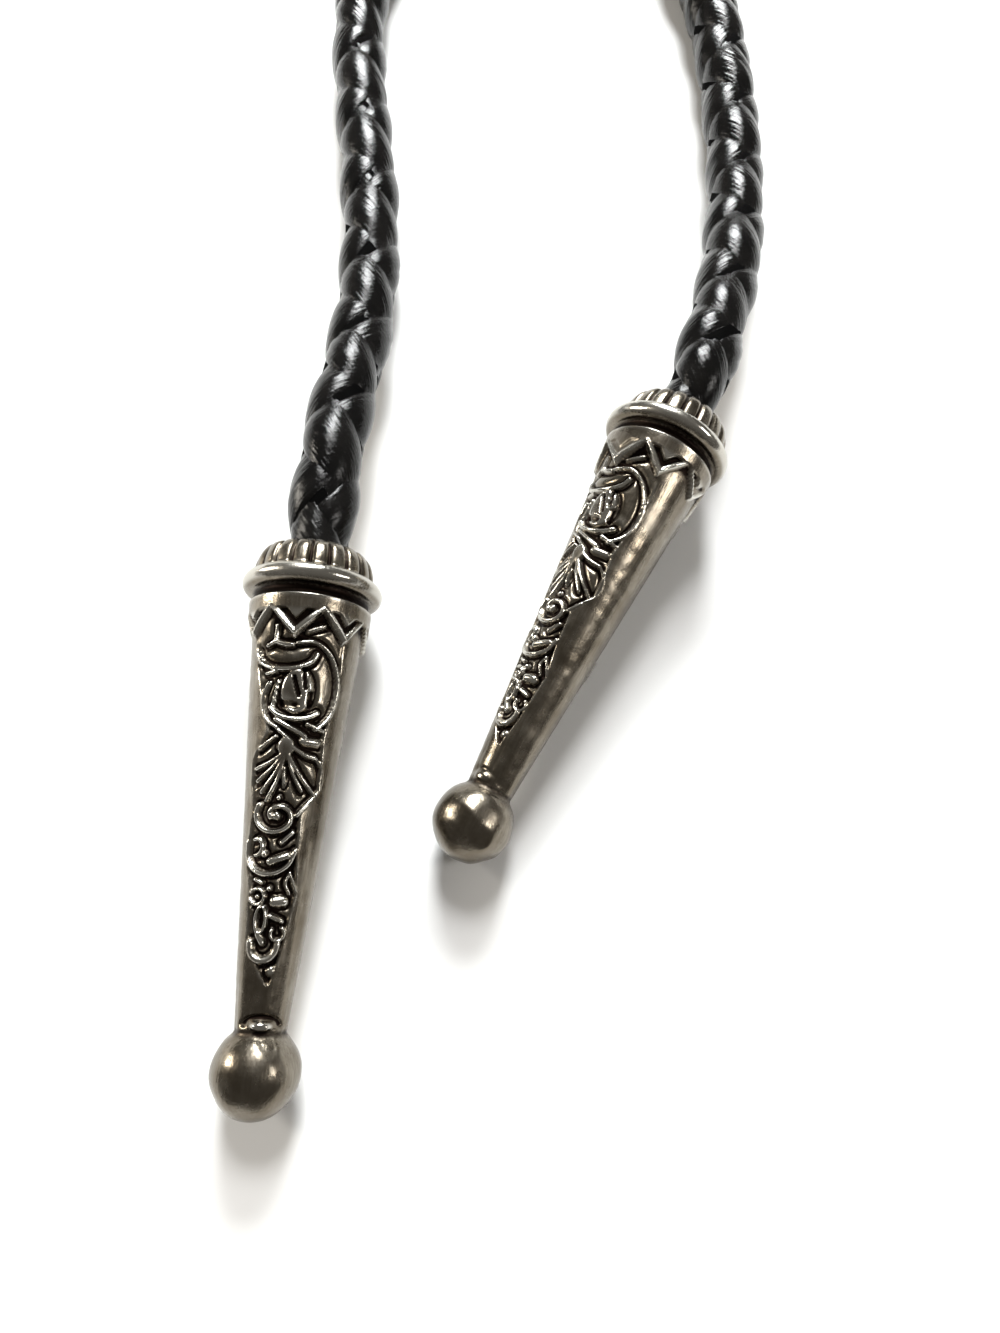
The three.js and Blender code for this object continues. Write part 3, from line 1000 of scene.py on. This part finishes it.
def makeBlock(spec=slideShape):
    # rounded block with the two channels cut through it
    half, corner, bevel = spec["block"] / 2, spec["blockCorner"], spec["blockBevel"]
    levels = [(bevel * (1 - math.sin(t)), bevel * (1 - math.cos(t))) for t in np.linspace(0, math.pi / 2, 5)]
    levels.append((0, spec["blockTop"]))
    rings = []
    for inset, height in levels:
        ring = []
        for quarter, signs in enumerate([(1, 1), (-1, 1), (-1, -1), (1, -1)]):
            middle = np.array(signs) * (half - corner)
            for t in np.linspace(quarter * math.pi / 2, (quarter + 1) * math.pi / 2, 9):
                spot = middle + (corner - inset) * np.array([math.cos(t), math.sin(t)])
                ring.append((*spot, height))
        rings.append(ring)
    points, faces = meshFromRings(np.array(rings))
    block = addObject("block", points, faces, slideSilver)
    cutters = [makeChannel(side) for side in (-1, 1)]
    for cutter in cutters:
        cut = block.modifiers.new("channel", "BOOLEAN")
        cut.object = cutter
    cleared = bpy.data.meshes.new_from_object(block.evaluated_get(bpy.context.evaluated_depsgraph_get()))
    for spare in [block] + cutters:
        bpy.data.objects.remove(spare)
    return cleared


def makeSlide(spec=slideShape):
    points, faces = makePlate()
    block = makeBlock()
    shift = len(points)
    points += [tuple(v.co) for v in block.vertices]
    faces += [tuple(i + shift for i in face.vertices) for face in block.polygons]
    piece = addObject("slidePlate", points, faces, slideSilver)
    piece.data.set_sharp_from_angle(angle=math.radians(38))
    spots = np.array([tuple(v.co) for v in piece.data.vertices]) / mm
    share = np.hypot(spots[:, 0] / (spec["width"] / 2), spots[:, 1] / (spec["length"] / 2))
    high = spots[:, 2] > spec["edge"] - 0.3
    foot = spec["rimMiddle"] - 0.055
    # dark patina in the groove inside the rim; the plate's underside and the block are also made darker
    # towards the bottom, and darker inside the channels
    hollow = np.exp(-((share - foot) / 0.014) ** 2) * high + smoothStep(8.3, 7.6, spots[:, 2]) * 0.35
    fromChannel = np.abs(np.abs(spots[:, 0]) - channelEnd["x"])
    inChannel = (fromChannel < spec["channelRadius"] + 1) & (spots[:, 2] < 7.7)
    hollow = np.maximum(hollow, 0.7 * inChannel * (np.abs(spots[:, 1]) < 12.8))
    worn = np.exp(-((share - spec["rimMiddle"]) / 0.02) ** 2) * high * 0.8
    addValues(piece, "hollow", np.clip(hollow, 0, 1))
    addValues(piece, "worn", worn)
    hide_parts("slide")
    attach(piece, "root")
    print("slidePlate made,", len(faces), "faces")


makeSlide()


# name, place (m), size (m), power (W), colour
studioLights = [
    ("windowLight", (0.03, 0.42, 0.34), (0.22, 0.15), 6.5, (0.97, 1.0, 1.0)),
    ("leftLamp", (-0.55, 0.06, 0.24), (0.1, 0.24), 2.2, (1.0, 0.94, 0.84)),
    ("rightLamp", (0.5, -0.16, 0.36), (0.12, 0.12), 1.0, (1.0, 0.97, 0.93)),
]
sunLight = {"strength": 1.65, "spread": 14, "tiltX": -42, "tiltY": 4}
studio = {
    "floorSize": 6,  # m
    "floorDrop": 0.00005,
    "floorColor": (0.92, 0.92, 0.915, 1),
    "roomColor": (1.0, 0.95, 0.88, 1),
    "roomStrength": 0.17,
    "backdropColor": (0.93, 0.93, 0.92, 1),
    "lampsAim": (0, -0.1, 0),
}


def makeFloor():
    bpy.ops.mesh.primitive_plane_add(size=studio["floorSize"], location=(0, 0, -studio["floorDrop"]))
    floor = bpy.context.object
    floor.name = "floor"
    material, _, shader = newMaterial("paleFloor")
    shader.inputs["Base Color"].default_value = studio["floorColor"]
    shader.inputs["Roughness"].default_value = 0.7
    shader.inputs["Specular IOR Level"].default_value = 0.2
    floor.data.materials.append(material)


def makeRoom():
    # a dim warm room lights the piece, and the camera sees a pale backdrop instead
    world = bpy.data.worlds.new("studio")
    world.use_nodes = True
    tree = world.node_tree
    room = tree.nodes["Background"]
    room.inputs[0].default_value = studio["roomColor"]
    room.inputs[1].default_value = studio["roomStrength"]
    backdrop = tree.nodes.new("ShaderNodeBackground")
    backdrop.inputs[0].default_value = studio["backdropColor"]
    seen = tree.nodes.new("ShaderNodeLightPath")
    choice = tree.nodes.new("ShaderNodeMixShader")
    tree.links.new(seen.outputs["Is Camera Ray"], choice.inputs[0])
    tree.links.new(room.outputs[0], choice.inputs[1])
    tree.links.new(backdrop.outputs[0], choice.inputs[2])
    tree.links.new(choice.outputs[0], tree.nodes["World Output"].inputs[0])
    scene.world = world


def makeSun():
    sun = bpy.data.lights.new("daylight", "SUN")
    sun.energy = sunLight["strength"]
    sun.angle = math.radians(sunLight["spread"])
    daylight = bpy.data.objects.new("daylight", sun)
    daylight.rotation_euler = (math.radians(sunLight["tiltX"]), math.radians(sunLight["tiltY"]), 0)
    scene.collection.objects.link(daylight)


def makeLamp(name, place, size, power, tint):
    light = bpy.data.lights.new(name, "AREA")
    light.shape = "RECTANGLE"
    light.size, light.size_y = size
    light.energy = power
    light.color = tint
    lamp = bpy.data.objects.new(name, light)
    lamp.location = place
    aim = Vector(studio["lampsAim"]) - Vector(place)
    lamp.rotation_euler = aim.to_track_quat("-Z", "Y").to_euler()
    lamp.visible_camera = False
    scene.collection.objects.link(lamp)


def makeStudio():
    makeFloor()
    makeRoom()
    makeSun()
    for row in studioLights:
        makeLamp(*row)
    scene.view_settings.view_transform = "Standard"


makeStudio()
print("studio made")
